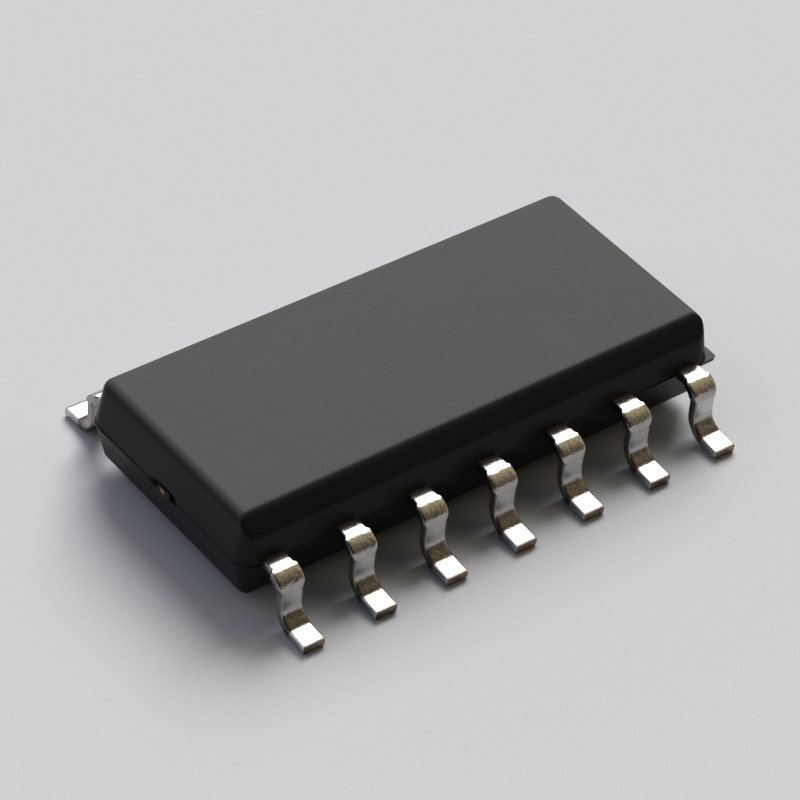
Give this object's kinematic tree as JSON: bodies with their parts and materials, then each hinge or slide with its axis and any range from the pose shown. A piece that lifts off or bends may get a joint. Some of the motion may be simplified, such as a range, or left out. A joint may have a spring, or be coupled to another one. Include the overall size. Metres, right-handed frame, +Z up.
{
  "type": "pwm controller chip",
  "caption": "Flat rectangular black moulded chip package with a row of tin-plated gull-wing leads along each long side, soldered flat to a circuit board.",
  "frame": {"origin": "middle of the seating plane: the plane of the lead soles, under the centre of the body", "axes": "+X along the lead rows, towards the end with the flash fin; +Y towards the back row; +Z up, away from the board"},
  "size_m": [0.0087, 0.006, 0.0017],
  "materials": {
    "mould_compound": "matt black epoxy moulding compound with a fine grain, glossier on the drafted sides",
    "tin_plate": "satin tin plate with faint drawing marks and warm tarnish at the bends",
    "frame_copper": "bare rolled copper alloy, silver-grey where it was cut",
    "silver_adhesive": "cured silver-filled adhesive, grainy",
    "silicon": "polished silicon, dark blue-grey",
    "gold_wire": "drawn gold wire, bright"
  },
  "bodies": {
    "root": {"moulded_body": "mould_compound", "lead_1": "tin_plate", "lead_2": "tin_plate", "lead_3": "tin_plate", "lead_4": "tin_plate", "lead_5": "tin_plate", "lead_6": "tin_plate", "lead_7": "tin_plate", "lead_8": "tin_plate", "lead_9": "tin_plate", "lead_10": "tin_plate", "lead_11": "tin_plate", "lead_12": "tin_plate", "lead_13": "tin_plate", "lead_14": "tin_plate", "die_pad": "frame_copper", "die_attach": "silver_adhesive", "silicon_die": "silicon", "bond_wire_1": "gold_wire", "bond_wire_2": "gold_wire", "bond_wire_3": "gold_wire", "bond_wire_4": "gold_wire", "bond_wire_5": "gold_wire", "bond_wire_6": "gold_wire", "bond_wire_7": "gold_wire", "bond_wire_8": "gold_wire", "bond_wire_9": "gold_wire", "bond_wire_10": "gold_wire", "bond_wire_11": "gold_wire", "bond_wire_12": "gold_wire", "bond_wire_13": "gold_wire", "bond_wire_14": "gold_wire"}
  },
  "joints": []
}
